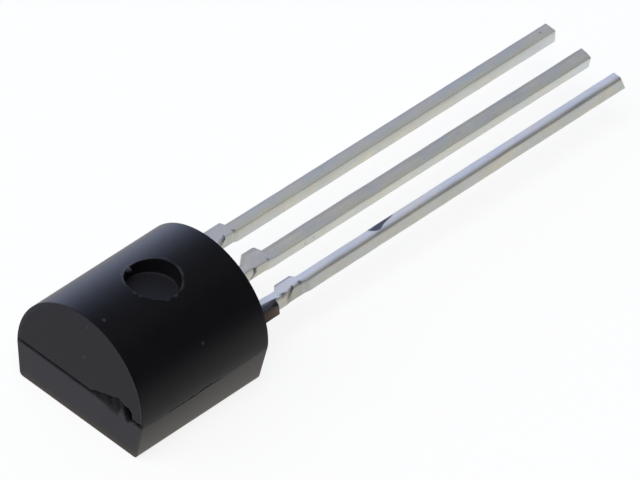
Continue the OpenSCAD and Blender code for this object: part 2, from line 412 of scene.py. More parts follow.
def add_end(shell, boundary, rows, lead_end):
    """Closes one end: each row runs across it at one height."""
    base, n = len(ACROSS), len(boundary)
    grid = [boundary[:base]]
    for k in range(1, rows - 1):
        left_id, right_id = boundary[n - k], boundary[base - 1 + k]
        left, right = np.array(shell.points[left_id]), np.array(shell.points[right_id])
        points = left + (right - left) * ACROSS[1:-1]
        points[:, 1] = end_y(points[:, 2], lead_end)
        normals = np.tile([0.0, 1.0 if lead_end else -1.0, 0.0], (len(points), 1))
        grid.append([left_id, *shell.add(points, normals, END_MATTE), right_id])
    faces = []
    for lower, upper in zip(grid, grid[1:]):
        faces += [(lower[i], lower[i + 1], upper[i + 1], upper[i]) for i in range(base - 1)]
    apex = boundary[base - 1 + rows - 1]
    faces += [(a, b, apex) for a, b in zip(grid[-1], grid[-1][1:])]
    shell.faces += [face[::-1] for face in faces] if lead_end else faces


def side_seam(points, normals):
    """Height of the seam along the sides, which sags and wavers, and how much of it shows at each point, as
    depth and as painted shade.
    """
    y, along = points[:, 1], points * [0, 1, 0]
    sag = SEAM_SAG + 0.03 * wobble(along, 1.3, 24) + 0.02 * wobble(along, 6.0, 25)
    seam_z = PARTING_Z - sag * ease(PLAIN_Y, -1.7, y) * ease(LEAD_Y, 1.7, y)
    shows = 0.75 + 0.6 * wobble(along + [0.3, 0, 0], 2.7, 21) + 0.4 * wobble(along, 9.0, 22)
    shows = np.clip(shows * ease(-1.9, -1.1, y) * ease(1.2, 0.3, y), 0.03, 1.2)
    return seam_z, bump(points[:, 2], seam_z, 0.03) * (np.abs(normals).sum(1) > 0) * shows


def inside_left(points):
    """How far each point lies inside the left edge of the end view."""
    x, _, z = points.T
    below = x + FLAT_LEFT[0] + (HALF_W - FLAT_LEFT[0]) * z / PARTING_Z
    return np.where(z > PARTING_Z, BACK_R - np.hypot(x, z - BACK_Z), below)


def build_body():
    right = outline_half(*FLAT_RIGHT)
    left = outline_half(*FLAT_LEFT) * [-1, 1, -1, 1]
    # The closed outline: bottom row left to right, up the right side, over and down the left.
    outline = np.vstack([left[0] + (right[0] - left[0]) * ACROSS, right[1:], left[-2:0:-1]])
    shell = Shell()
    rings = sweep(shell, outline)
    add_mark(shell, join_rings(shell, rings, right))
    add_end(shell, rings[0], len(right), False)
    add_end(shell, rings[-1], len(right), True)

    # Grooves, scar and slot sink along the local normal.
    points, normals = np.array(shell.points), np.array(shell.normals)
    end_share = np.clip(-normals[:, 1], 0, 1)
    on_end = end_share > 0.01
    end_depth, torn, crevice_shade = plain_end_depth(points[:, 0], points[:, 2])
    seam_z, seam = side_seam(points, normals)
    depth = np.where(on_end, end_depth * end_share + SEAM_DEPTH * seam * (1 - end_share), SEAM_DEPTH * seam)
    points = points - normals * depth[:, None]
    edge_z = np.where(on_end, PARTING_Z, seam_z)
    lower_half = ease(edge_z + 0.006, edge_z - np.where(on_end, 0.006, 0.05), points[:, 2])
    # The left edge of the plain end is painted paler, a painted reflection along its rounded edge, and is a
    # little dished.
    inside = inside_left(points)
    near_left = ease(-0.8, -1.6, points[:, 0])
    edge_sheen = ease(0.18, 0.0, inside) * near_left * ease(0.0, 0.3, end_share)
    dished = DISH_DEPTH * near_left * np.clip(1 - inside / 0.12, 0, 1) ** 2
    points[:, 1] += dished * (points[:, 1] < PLAIN_Y + 0.03)
    # The groove, the slot and the seam along the sides are painted darker: painted shade, standing in for the
    # shade that falls in them.
    shades = {
        "matte": shell.matte,
        "torn": torn * on_end,
        "crevice_shade": np.maximum(crevice_shade * on_end, seam * (end_share < 0.5)),
        "wear": np.maximum(shell.wear, edge_sheen),
        "lower_half": lower_half,
        "end_face": np.abs(normals[:, 1]),
    }
    obj = to_object("body_shell", points, shell.faces, shades)
    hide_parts("body")
    return obj


# ---- leads

LEAD_PITCH = 1.27
LEAD_W = 0.38
LEAD_T = 0.38
LEAD_LENGTH = 14.25
EDGE = LEAD_W / 2
FRAME_Z = PARTING_Z - 0.03
PADDLE_HALF = 0.65
PADDLE_LO = PLAIN_Y + 0.9
PADDLE_HI = PADDLE_LO + 1.5
POST_LO = PADDLE_HI - 0.9
POST_IN = PADDLE_HALF + 0.25 - LEAD_PITCH
POST_OUT = EDGE + 0.13
BODY_END = LEAD_Y + 0.001
EAR_END = 1.08
# How far the leads move in X and in Z for each millimetre out of the body.
BEND = (0.0062, -0.0054)
LOWER_LEFT_R = 0.025
# The cut tip is rounded by TIP_R, and its slant sets in over the last TIP_ZONE.
TIP_R = 0.02
TIP_ZONE = 0.7
TIP_Y = BODY_END + LEAD_LENGTH
# The stub of the cut bar ends between these distances out of the body.
STUB_END = (2.12, 2.06)
# Rows of a plan that lie closer together than this are steps.
STEP = 0.03
# What the tin material reads at each point, some of it painted shade, and how much of each the cut tip has.
MARKS = ("copper", "shade_and_dots", "sheared_and_shaded", "film_and_shade", "warm")
CUT_TIP = (0.75, 0.0, 0.6, 0.0, 0.0)


def unit(vector):
    return vector / np.linalg.norm(vector)


def rounded_section(left, right, setback, radii):
    """Rounded four-sided section from the bottom left, counter-clockwise, with its outward normals.

    radii are those of the bottom left, bottom right, top right and top left corners.
    """
    low, high = -LEAD_T / 2, LEAD_T / 2
    corners = np.array([(left, low), (right, low), (right - setback, high), (left, high)])
    arcs = []
    for i, r in enumerate(radii):
        to_before = unit(corners[i - 1] - corners[i])
        to_after = unit(corners[(i + 1) % 4] - corners[i])
        half = math.acos(np.clip(to_before @ to_after, -1, 1)) / 2
        middle = corners[i] + unit(to_before + to_after) * r / math.sin(half)
        start = corners[i] + to_before * r / math.tan(half) - middle
        a0 = math.atan2(start[1], start[0])
        a = np.linspace(a0, a0 + math.pi - 2 * half, 7)
        out = np.column_stack([np.cos(a), np.sin(a)])
        arcs.append((middle + r * out, out))
    points, normals = [], []
    for i, (arc, out) in enumerate(arcs):
        following = arcs[(i + 1) % 4][0][0]
        t = np.linspace(0, 1, 11)[1:-1, None]
        points += [arc, arc[-1] * (1 - t) + following * t]
        normals += [out, np.tile(out[-1], (len(t), 1))]
    return np.vstack(points), np.vstack(normals)


class Section:
    """The points around a lead at one distance out of the body, about its own centre line.

    left and right are the edges of its top, and level runs from 0 at its bottom to 1 at its top.
    """

    def __init__(self, y, left, right, setback, *radii):
        points, out = rounded_section(left, right, setback, (LOWER_LEFT_R, *radii))
        self.y, self.left, self.right = y, left, right - setback
        self.x, self.z = points.T
        self.level = self.z / LEAD_T + 0.5
        self.sideways = out[:, 0]
        self.aside = np.clip(out[:, 0], 0, 1)
        self.up = np.clip(out[:, 1], 0, 1)


def stations(places):
    """Where the sections of a lead lie: closest together about its crease and its tip."""
    tip = places[-1]
    even = [
        *np.arange(places[0], 0.0, 0.15), *np.arange(0.0, 1.0, 0.05), *np.arange(1.0, 2.6, 0.015),
        *np.arange(2.6, tip - TIP_ZONE, 0.09), *np.arange(tip - TIP_ZONE, tip, 0.06),
    ]
    # A station near each end of a step keeps the step's face flat.
    gaps = [(a, b - a) for a, b in zip(places, places[1:]) if b - a < STEP]
    steps = [a + share * gap for a, gap in gaps for share in (0.1, 0.9)]
    return sorted({round(float(y), 4) for y in [*places, *steps, *even]})


def crease_y(level, look):
    """How far out the crease lies at each height: it leans, and curls over the top corner."""
    low, mid, high = look["crease"]
    leaning = np.where(level < 0.5, low + (mid - low) * level * 2, mid)
    return leaning + (high - mid) * ease(0.45, 1, level)


def place(s, side, tip, look):
    """A section's points on the part: drawn towards the crease, slanted at the tip, rolled and bent."""
    mid = look["crease"][1]
    shift = (crease_y(s.level, look) - mid) * bump(s.y, mid, 0.3) * ease(-0.12, 0.08, s.x)
    slip = float(ease(tip - TIP_ZONE, tip, s.y))
    slant = look["slant"] * s.x / EDGE + look["undercut"] * (1 - s.level)
    away = BODY_END + s.y + shift + slant * slip
    roll = math.radians(look["roll"]) * float(ease(*look["rolls_over"], s.y))
    x = (s.x * math.cos(roll) + s.z * math.sin(roll)) * look["size"]
    z = (-s.x * math.sin(roll) + s.z * math.cos(roll)) * look["size"]
    reach = max(s.y, 0.0)
    at_body, at_tip = look["sag"]
    z += at_body + (at_tip - at_body) * reach / tip
    return np.column_stack([
        side * LEAD_PITCH + x + BEND[0] * reach,
        np.minimum(away, TIP_Y),
        FRAME_Z + LEAD_T / 2 + z + BEND[1] * reach,
    ])


def shade_and_dots_share(s, look):
    """How much painted shade the crease takes, and the dark marks along the right edge of the top."""
    _, mid, high = look["crease"]
    over_corner = ease(0.0, 0.05, s.x - s.right + 0.09) * (high - mid > 0.1)
    seam = bump(s.y, mid, look["crease_half"]) * np.maximum(s.aside, over_corner)
    kept = look["fades_to"] + (1 - look["fades_to"]) * ease(0.3, 0.7, s.level)
    shade_and_dots = look["crease_dark"] * seam * kept
    for middle, half, strength in look["dots"]:
        dent = strength * bump(s.y, middle, half) * bump(s.x, s.right - 0.03, 0.08)
        shade_and_dots = np.maximum(shade_and_dots, dent * np.maximum(s.up, 0.6 * (s.level > 0.8)))
    return shade_and_dots


def film_share(s):
    """Share of the thin black coat of moulding resin that bled over the top of the ear, and of painted shade
    down its side near the body.
    """
    edge = np.interp(s.y, *FILM_EDGE.T)
    on_top = float(ease(1.22, 1.11, s.y)) * ease(edge - 0.02, edge + 0.02, s.x)
    # The side near the body is painted dark as well: painted shade from the body.
    beside = 0.8 * ease(0.5, 1.0, s.level) + 0.35 * ease(0.9, 0.2, s.y)
    beside = beside * float(ease(EAR_END + 0.03, EAR_END, s.y))
    thin = 0.15 * float(ease(1.0, 0.8, s.y)) * ease(edge + 0.12, edge + 0.06, s.x)
    return on_top * (1 - thin) * np.clip(s.up * 1.5 + beside * s.aside, 0, 1)


def section_marks(s, side, look):
    """How much of each of MARKS the points of a section have."""
    # Bare copper shows on the outer side of the ear and on the stub of the cut bar.
    ear = bump(s.y, 0.0, 4.0) * ease(EAR_END + 0.025, EAR_END + 0.005, s.y) * ease(-0.1, 0.05, s.y)
    stub = ease(look["stub"] + 0.015, look["stub"] + 0.05, s.y) * ease(*STUB_END, s.y)
    outer_side = np.clip(side * s.sideways, 0, 1) ** 2
    copper = np.maximum(ear * outer_side, 0.8 * stub * np.clip(-s.sideways, 0, 1) ** 3)
    # The top is painted a little darker along its rounded left edge, most of all on the stub: painted shade.
    rim = s.up * ease(s.left + 0.13, s.left + 0.04, s.x)
    # Towards the right edge the top turns warmer and is painted darker, and the side is painted darker just
    # below that edge: painted shade along the ridge.
    across = ease(s.left + 0.1, s.right, s.x) * ease(1.9, 2.6, s.y)
    # The cut stub's faces are duller; the rest is painted shade on the top, its edges and the side below the
    # ridge.
    sheared_and_shaded = np.maximum.reduce([
        stub * np.clip(-s.sideways * 1.6, 0, 1) * 0.7 + stub * s.aside * 0.3,
        look["dull_and_shade"] * s.up,
        rim * (look["edge"] + (1 - look["edge"]) * stub),
        look["shade"] * s.up * across,
        look["below"] * s.aside * ease(0.65, 0.95, s.level),
    ])
    shade_and_dots = np.maximum(shade_and_dots_share(s, look), look["stub_rim"] * rim * stub)
    return copper, shade_and_dots, sheared_and_shaded, look["film_and_shade"] * film_share(s), look["warm"] * s.up * across


def cap(ring, mark, sign, cut):
    """Rounds off one end: small steps inwards, then rings closing to the middle. sign is 1 at the tip."""
    middle = ring.mean(0)
    reach = np.linalg.norm((ring - middle)[:, [0, 2]], axis=1)
    extra = []
    for a in QUARTER[1:]:
        moved = middle + (ring - middle) * (1 - TIP_R * (1 - math.cos(a)) / reach)[:, None]
        moved[:, 1] = ring[:, 1] + sign * TIP_R * (math.sin(a) - 1)
        extra.append(moved)
    rim, centre = extra[-1], extra[-1].mean(0)
    extra += [centre + (rim - centre) * f for f in (0.75, 0.5, 0.25)]
    return extra, [mark] * 2 + [tuple(np.full(len(ring), share) for share in cut)] * 5


def build_lead(name, side, plan, look):
    """Sweeps a rounded section along a lead.

    plan holds rows of distance out of the body, left, right, top right setback, and the radii of the
    bottom right, top right and top left corners, all about the lead's own centre line.
    """
    plan = np.array(plan, float)
    places, tip = plan[:, 0], plan[-1, 0]
    sections = []
    for y in stations(places):
        sections.append(Section(y, *(np.interp(y, places, column) for column in plan.T[1:])))
    rings = [place(s, side, tip, look) for s in sections]
    marks = [section_marks(s, side, look) for s in sections]
    near_rings, near_marks = cap(rings[0], marks[0], -1, [0.0] * len(MARKS))
    far_rings, far_marks = cap(rings[-1], marks[-1], 1, CUT_TIP)
    rings = near_rings[::-1] + rings[1:-1] + far_rings
    marks = near_marks[::-1] + marks[1:-1] + far_marks
    points = np.vstack(rings + [rings[0].mean(0), rings[-1].mean(0)])
    count = len(rings[0])
    starts = [i * count for i in range(len(rings))]
    faces = []
    for a, b in zip(starts, starts[1:]):
        faces += [quad[::-1] for quad in ring_quads(range(a, a + count), range(b, b + count))]
    hub, last = len(rings) * count, starts[-1]
    faces += [((i + 1) % count, i, hub) for i in range(count)]
    faces += [(last + i, last + (i + 1) % count, hub + 1) for i in range(count)]
    # Slight waviness of the stamped and dipped strip.
    points[:, 0] += wobble(points, 1.6, look["seed"]) * 0.006
    points[:, 2] += wobble(points, 1.9, look["seed"] + 1) * 0.005
    attributes = {}
    for key, values in zip(MARKS, zip(*marks)):
        attributes[key] = np.concatenate([*values, [values[0].mean(), values[-1].mean()]])
    return to_object(name, points, faces, attributes)


# Corner radii of a lead, at the bottom right, top right and top left.
ROUND = (0.05, 0.012, 0.04)
SHARP = (0.025, 0.01, 0.02)
SOFT = (0.025, 0.012, 0.035)
EAR_CORNERS = (0.025, 0.14, 0.02)
STUB_CORNERS = (0.05, 0.02, 0.045)

# Left edge of the film on the right lead: distance out of the body and place across the lead.
FILM_EDGE = np.array([(0.5, 0.01), (0.74, 0.055), (0.96, 0.095), (1.19, 0.13), (1.44, 0.135)])

# What sets each lead apart. Its shape: roll in degrees and where that sets in, size, height at the body
# and at the tip, and slant and undercut of the cut tip. The crease at its foot: where it lies at the
# bottom, middle and top, how dark its painted shade is and half how wide it is, and how much is left at
# the bottom. dots are dark marks along the top's right edge: place, half length, darkness. stub is where
# the cut bar's stub starts; the rest are strengths, among them painted shade on the top, its edges and
# the side below the ridge, and the resin coat with painted shade beside it.
LOOKS = {
    "lead_left": dict(
        roll=1, rolls_over=(0.3, 3.0), size=1.065, sag=(0.0, 0.0), slant=-0.01, undercut=0.02, seed=11,
        crease=(1.48, 1.56, 1.79), crease_dark=0.95, crease_half=0.17, fades_to=0.8,
        dots=[(2.16, 0.07, 0.8)],
        stub=1.44, stub_rim=0.0, edge=1.0, dull_and_shade=0.42, warm=1.0, shade=0.0, below=0.35, film_and_shade=0.0,
    ),
    "lead_middle": dict(
        roll=9, rolls_over=(0.3, 3.0), size=1.07, sag=(-0.045, -0.045), slant=-0.03, undercut=0.02, seed=23,
        crease=(1.42, 1.62, 1.59), crease_dark=0.9, crease_half=0.1, fades_to=0.9,
        dots=[(2.08, 0.07, 0.6)],
        stub=1.64, stub_rim=0.1, edge=1.0, dull_and_shade=0.0, warm=0.5, shade=0.0, below=0.35, film_and_shade=0.0,
    ),
    "lead_right": dict(
        roll=-12, rolls_over=(-0.3, 1.0), size=1.0, sag=(-0.05, 0.02), slant=-0.04, undercut=0.1, seed=37,
        crease=(1.52, 1.58, 1.78), crease_dark=1.0, crease_half=0.17, fades_to=0.2,
        dots=[(2.06, 0.09, 0.9), (1.36, 0.1, 1.0), (3.4, 0.5, 0.12), (5.1, 0.4, 0.2), (7.9, 0.9, 0.12),
              (10.2, 1.0, 0.2), (12.6, 1.1, 0.25)],
        stub=1.49, stub_rim=0.25, edge=0.1, dull_and_shade=0.1, warm=0.0, shade=0.8, below=1.0, film_and_shade=1.0,
    ),
}


def outer_plan(side, stub, slope, stub_hi, crease, nick, fade, setback, top_r, wide, tip):
    """Plan rows of an outer lead, from its bond post inside the body to its tip.

    The stub of the cut bar sticks out by stub, grows over the two distances of slope and ends at stub_hi.
    The lead is wide more at its foot, steps in by nick at the crease and is whole again after fade.
    """
    post = (POST_IN, POST_OUT) if side > 0 else (-POST_OUT, -POST_IN)
    ear = (-EDGE + 0.03, POST_OUT) if side > 0 else (-POST_OUT, EDGE)
    neck = (-EDGE + 0.03, EDGE + wide)
    foot = PADDLE_HI - BODY_END
    sharp = (setback, SOFT[0], top_r, SOFT[2])
    burr = (setback, SHARP[0], top_r, 0.045)
    out, notch = -EDGE - stub, EDGE - nick
    stub_lo, stub_full = slope
    return [
        (POST_LO - BODY_END, *post, 0, *SHARP), (foot - 0.01, *post, 0, *SHARP),
        (foot + 0.01, *ear, 0, *SHARP), (0.8, *ear, 0, *SHARP),
        (EAR_END - 0.02, *ear, 0, *EAR_CORNERS), (EAR_END + 0.01, *neck, 0.03, *ROUND),
        (stub_lo, *neck, 0.04, *ROUND), (stub_full, out, neck[1], 0.05, *STUB_CORNERS),
        (crease - 0.01, out, neck[1], 0.06, *STUB_CORNERS),
        (crease + 0.01, out, notch, *burr), (stub_hi, out, notch, *burr),
        (stub_hi + 0.06, -EDGE, notch, *sharp), (stub_hi + 0.06 + fade, -EDGE, EDGE, *sharp),
        (3.6, -EDGE, EDGE, *sharp), (tip, -EDGE, EDGE, *sharp),
    ]


def middle_plan():
    """Plan rows of the middle lead, from its paddle inside the body to its tip."""
    foot = PADDLE_HI - BODY_END
    wide, neck, stub = (-EDGE, EDGE), (-EDGE + 0.03, EDGE - 0.005), -EDGE - 0.2
    paddle = (-PADDLE_HALF, PADDLE_HALF)
    corners = (0.025, 0.02, 0.045)
    return [
        (PADDLE_LO - BODY_END, *paddle, 0, *SHARP), (foot - 0.01, *paddle, 0, *SHARP),
        (foot + 0.01, *wide, 0, *SHARP), (-0.02, *wide, 0, *SHARP), (0.05, *neck, 0.05, *ROUND),
        (1.4, *neck, 0.05, 0.05, 0.02, 0.04), (1.61, neck[0] - 0.15, neck[1], 0.05, 0.05, 0.02, 0.04),
        (1.625, neck[0] - 0.16, EDGE - 0.03, 0, *SHARP), (1.68, stub, EDGE - 0.03, 0, *corners),
        (2.05, stub, EDGE - 0.03, 0, *corners), (2.1, stub + 0.02, EDGE - 0.02, 0, *corners),
        (2.17, -EDGE, EDGE - 0.012, 0, *SOFT), (2.3, *wide, 0, *SOFT), (LEAD_LENGTH, *wide, 0, *SOFT),
    ]


def build_leads():
    left = outer_plan(
        -1, stub=0.14, slope=(1.36, 1.46), stub_hi=2.09, crease=1.56, nick=0.045, fade=0.12,
        setback=0.015, top_r=0.012, wide=0.05, tip=LEAD_LENGTH,
    )
    right = outer_plan(
        1, stub=0.15, slope=(1.38, 1.56), stub_hi=2.1, crease=1.58, nick=0.03, fade=0.16,
        setback=0.045, top_r=0.075, wide=0.01, tip=LEAD_LENGTH - 0.09,
    )
    plans = (("lead_left", -1, left), ("lead_right", 1, right), ("lead_middle", 0, middle_plan()))
    out = []
    for node, side, plan in plans:
        obj = build_lead(node + "_tinned", side, plan, LOOKS[node])
        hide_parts(node)
        out.append(obj)
    return out


# ---- materials

# Specks of dust on the body.
DUST = ((0.4, -1.976, 3.404), (1.921, 0.139, 2.353), (0.11, -2.3, 2.12), (0.14, -2.3, 3.15))
# Small dark spots on the leads.
SPOTS = (
    (-1.2, 16.15, 1.43), (1.35, 16.36, 1.4), (-1.08, 6.28, 1.12), (0.2, 5.76, 1.19), (0.2, 6.06, 1.22),
)
SPOT_R = 0.06
# The scrape on the right lead's top is a wedge and its narrow tail, each the part of the top beyond some
# planes: a point and a direction.
SCRAPE_TOP = (((1.2, 7.4, 1.4), (0.0, 0.0, 1.0)), ((0.9, 7.0, 1.4), (1.0, 0.0, 0.0)))
SCRAPE_WEDGE = (
    ((1.15, 7.14, 1.4), (-0.545, 0.84, 0.0)), ((1.28, 7.19, 1.4), (-0.962, 0.272, 0.0)),
    ((1.33, 7.39, 1.4), (-0.903, -0.43, 0.0)),
)
SCRAPE_TAIL = (
    ((1.2, 7.35, 1.4), (0.0, 1.0, 0.0)), ((1.22, 7.62, 1.4), (-0.985, -0.173, 0.0)),
    ((1.16, 7.99, 1.4), (-0.822, -0.568, 0.0)),
)
SCRAPE_SOFT = 0.022
RANGE = ("Value", "From Min", "From Max", "To Min", "To Max")


class Nodes:
    """Short calls for building the node tree of a material or a world."""

    def __init__(self, owner):
        self.owner = owner
        owner.use_nodes = True
        self.tree = owner.node_tree
        self.tree.nodes.clear()

    def add(self, kind, inputs, output=0, **settings):
        """Adds a node, fills its inputs with sockets or values, and returns one of its outputs."""
        node = self.tree.nodes.new("ShaderNode" + kind)
        for key, value in settings.items():
            setattr(node, key, value)
        for socket, value in inputs.items():
            if isinstance(value, bpy.types.NodeSocket):
                self.tree.links.new(value, node.inputs[socket])
            else:
                node.inputs[socket].default_value = value
        return node.outputs[output]

    def close(self, kind, shader):
        """Ends the tree in an output node, and returns what it belongs to."""
        self.tree.links.new(shader, self.tree.nodes.new("ShaderNodeOutput" + kind).inputs["Surface"])
        return self.owner

    def principled(self, **sockets):
        inputs = {key.replace("_", " "): value for key, value in sockets.items()}
        return self.close("Material", self.add("BsdfPrincipled", inputs))

    def millimetres(self, scale=(1, 1, 1)):
        """Object coordinates in millimetres, stretched by scale."""
        metres = self.add("TexCoord", {}, "Object")
        return self.add("Mapping", {"Vector": metres, "Scale": [s / MM for s in scale]})

    def noise(self, vector, scale, detail=4.0, rough=0.5):
        inputs = {"Vector": vector, "Scale": scale, "Detail": detail, "Roughness": rough}
        return self.add("TexNoise", inputs, "Fac")

    def remap(self, value, a, b, to_a=0.0, to_b=1.0):
        """Value carried over from the range a to b to the range to_a to to_b, and held at its ends."""
        return self.add("MapRange", dict(zip(RANGE, (value, a, b, to_a, to_b))))

    def math(self, operation, a, b):
        return self.add("Math", {0: a, 1: b}, operation=operation)

    def times(self, a, b):
        return self.math("MULTIPLY", a, b)

    def plus(self, a, b):
        return self.math("ADD", a, b)

    def most(self, a, b):
        return self.math("MAXIMUM", a, b)

    def measure(self, operation, vector, other):
        """Distance to another vector, or dot product with it."""
        return self.add("VectorMath", {0: vector, 1: other}, "Value", operation=operation)

    def mix(self, share, a, b):
        return self.add("Mix", {0: share, 6: a, 7: b}, 2, data_type="RGBA")

    def coated(self, colour, *coats):
        """A colour with coats over it, each with its share and its own colour."""
        for share, coat in coats:
            colour = self.mix(share, colour, coat)
        return colour

    def attribute(self, name):
        return self.add("Attribute", {}, "Fac", attribute_name=name)

    def speck(self, vector, centre):
        """1 within a small spot about a point, 0 outside."""
        return self.remap(self.measure("DISTANCE", vector, centre), SPOT_R * 0.5, SPOT_R, 1.0, 0.0)

    def within(self, vector, planes):
        """1 where the vector lies beyond every plane, on the side that its direction faces."""
        inside = 1.0
        for point, direction in planes:
            level = sum(a * b for a, b in zip(point, direction))
            towards = self.measure("DOT_PRODUCT", vector, direction)
            beyond = self.remap(towards, level - SCRAPE_SOFT, level + SCRAPE_SOFT)
            inside = self.times(beyond, inside)
        return inside

    def bump(self, height, strength, distance_mm):
        return self.add("Bump", {"Strength": strength, "Distance": distance_mm * MM, "Height": height})


def rgb(r, g, b):
    """A colour given in sRGB from 0 to 255, as the linear values that sockets take."""
    shares = (r / 255, g / 255, b / 255)
    return (*(c / 12.92 if c <= 0.04045 else ((c + 0.055) / 1.055) ** 2.4 for c in shares), 1.0)


def epoxy_material():
    """Black moulding compound: smoother on the back, matte on the ends, paler below the parting line, with
    painted light low on its sides and ends, painted shade in its grooves and painted highlights round the
    mark.
    """
    n = Nodes(bpy.data.materials.new("black_epoxy"))
    p = n.millimetres()
    matte, torn, wear, crevice_shade = (n.attribute(name) for name in ("matte", "torn", "wear", "crevice_shade"))
    grain = n.noise(p, 16.0, 3.0, 0.6)
    fine = n.noise(p, 55.0, 2.0)
    cloud = n.noise(p, 1.3, 3.0)
    along, height = (n.add("SeparateXYZ", {0: p}, axis) for axis in (1, 2))
    # Below the parting line the body is paler, and painted lighter and warmer towards the bottom edge and
    # lighter towards the lead end: painted light from the table.
    side_lit_tone = n.coated(
        rgb(74, 72, 69), (n.remap(height, 0.0, PARTING_Z), rgb(33, 32, 33)),
        (n.remap(along, 0.0, 2.0, 0.0, 0.35), rgb(70, 66, 67)),
        (n.remap(height, 0.0, 0.14, 0.7, 0.0), rgb(118, 102, 82)),
    )
    end_lit_tone = n.mix(n.remap(height, 0.0, 0.22), rgb(76, 68, 60), rgb(50, 50, 55))
    lower = n.mix(n.attribute("end_face"), side_lit_tone, end_lit_tone)
    dust = 0.0
    for centre in DUST:
        dust = n.most(n.speck(p, centre), dust)
    colour = n.coated(
        rgb(11, 11, 13), (n.remap(cloud, 0.3, 0.7), rgb(15, 15, 17)),
        (n.times(matte, n.remap(grain, 0.3, 0.7, 0.5, 1.0)), rgb(29, 29, 36)),
        (n.times(n.attribute("lower_half"), n.remap(cloud, 0.3, 0.7, 0.85, 1.0)), lower),
        (n.times(torn, n.remap(grain, 0.35, 0.65, 0.5, 1.0)), rgb(13, 13, 14)),
        # Painted shade in the parting groove, the slot and the side seam.
        (crevice_shade, rgb(7, 7, 8)),
        # Painted highlights round the mark's rim and a painted reflection along the plain end's left edge,
        # with the pale burr.
        (n.times(wear, n.remap(grain, 0.3, 0.7, 0.6, 1.0)), rgb(60, 61, 65)),
        (n.times(dust, 0.13), rgb(140, 138, 130)),
    )
    rough = n.plus(n.remap(grain, 0.3, 0.7, 0.33, 0.39), n.times(matte, 0.16))
    rough = n.plus(rough, n.times(n.most(dust, wear), 0.2))
    relief = n.plus(n.times(grain, 0.7), n.times(fine, 0.3))
    strength = n.remap(n.most(matte, torn), 0.0, 1.0, 0.08, 0.35)
    # Painted shade also weakens the reflection in the groove, the slot and the seam; the torn gate is a
    # little duller.
    dull_and_shade = n.most(crevice_shade, n.times(torn, 0.25))
    return n.principled(
        Base_Color=colour, Roughness=rough, Normal=n.bump(relief, strength, 0.01), IOR=1.5,
        Specular_IOR_Level=n.remap(dull_and_shade, 0.0, 1.0, 0.2, 0.12),
    )


def tin_material():
    """Dull tin plating, with the marks that the leads' points carry, among them painted shade along creases,
    edges and ridges.
    """
    n = Nodes(bpy.data.materials.new("matte_tin"))
    p = n.millimetres()
    streak = n.noise(n.millimetres((1, 0.06, 1)), 20.0, 4.0, 0.6)
    cloud = n.noise(p, 1.1, 3.0)
    grain = n.noise(p, 26.0, 4.0, 0.65)
    patches = n.noise(n.millimetres((1, 0.4, 1)), 3.0, 3.0, 0.6)
    copper, shade_and_dots, sheared_and_shaded, film_and_shade, warm = (n.attribute(name) for name in MARKS)
    mottle = n.remap(grain, 0.35, 0.65)
    on_top = n.within(p, SCRAPE_TOP)
    colour = n.coated(
        rgb(207, 214, 216), (n.remap(patches, 0.35, 0.65), rgb(227, 220, 203)),
        (n.times(warm, 0.9), rgb(218, 216, 170)),
        (n.remap(streak, 0.35, 0.65, 0.0, 0.5), rgb(228, 228, 220)),
        (n.remap(cloud, 0.35, 0.7, 0.0, 0.4), rgb(204, 204, 198)),
        (n.remap(grain, 0.3, 0.5, 0.4, 0.0), rgb(184, 183, 176)),
        # Sheared faces are duller; the tops, their edges and the sides below the ridge are painted darker:
        # painted shade.
        (n.times(sheared_and_shaded, 0.5), rgb(168, 166, 162)),
        (copper, n.mix(mottle, rgb(58, 41, 29), rgb(93, 63, 38))),
        # Painted shade in the creases and along the stub's left edge, and dark marks along the top's right
        # edge.
        (shade_and_dots, rgb(70, 68, 66)),
        *((n.times(n.speck(p, centre), 0.32), rgb(70, 70, 70)) for centre in SPOTS),
        (n.times(on_top, n.within(p, SCRAPE_TAIL)), rgb(90, 86, 78)),
        (n.times(on_top, n.within(p, SCRAPE_WEDGE)), n.mix(mottle, rgb(72, 76, 90), rgb(96, 96, 104))),
        # Resin over the ear, and painted shade down its side near the body.
        (film_and_shade, rgb(18, 18, 22)),
    )
    rough = n.plus(n.remap(streak, 0.3, 0.7, 0.48, 0.56), n.times(n.most(copper, sheared_and_shaded), 0.1))
    metallic = n.math("SUBTRACT", 1.0, n.times(film_and_shade, 0.85))
    relief = n.plus(n.times(streak, 0.4), n.times(grain, 0.6))
    return n.principled(
        Base_Color=colour, Metallic=metallic, Roughness=rough, Normal=n.bump(relief, 0.2, 0.008),
    )


def plain_metal(name, dark, light, scale, roughness):
    """A metal whose grain runs between two colours."""
    n = Nodes(bpy.data.materials.new(name))
    grain = n.noise(n.millimetres(), scale, 4.0, 0.6)
    colour = n.mix(n.remap(grain, 0.35, 0.65), dark, light)
    rough = n.remap(grain, 0.3, 0.7, roughness - 0.06, roughness + 0.06)
    return n.principled(Base_Color=colour, Metallic=1.0, Roughness=rough, Normal=n.bump(grain, 0.2, 0.004))


def silicon_material():
    """Polished silicon with the faint tile lines of its metal layer."""
    n = Nodes(bpy.data.materials.new("silicon_die"))
    p = n.millimetres()
    tiles = n.add("TexBrick", {
        "Vector": p, "Scale": 9.0, "Mortar": rgb(52, 54, 62),
        "Color1": rgb(84, 88, 104), "Color2": rgb(96, 92, 112),
    }, "Color")
    grain = n.noise(p, 40.0)
    colour = n.mix(n.remap(grain, 0.3, 0.7, 0.0, 0.4), tiles, rgb(70, 72, 84))
    return n.principled(Base_Color=colour, Metallic=0.6, Roughness=n.remap(grain, 0.3, 0.7, 0.16, 0.26))


def paint(obj, material):
    obj.data.materials.clear()
    obj.data.materials.append(material)


# ---- studio

WHITE = (1, 1, 1, 1)
# Where the room's broad cool light lies, low on the left behind.
GLOW_DIRECTION = (-0.83, 0.558, 0.0)
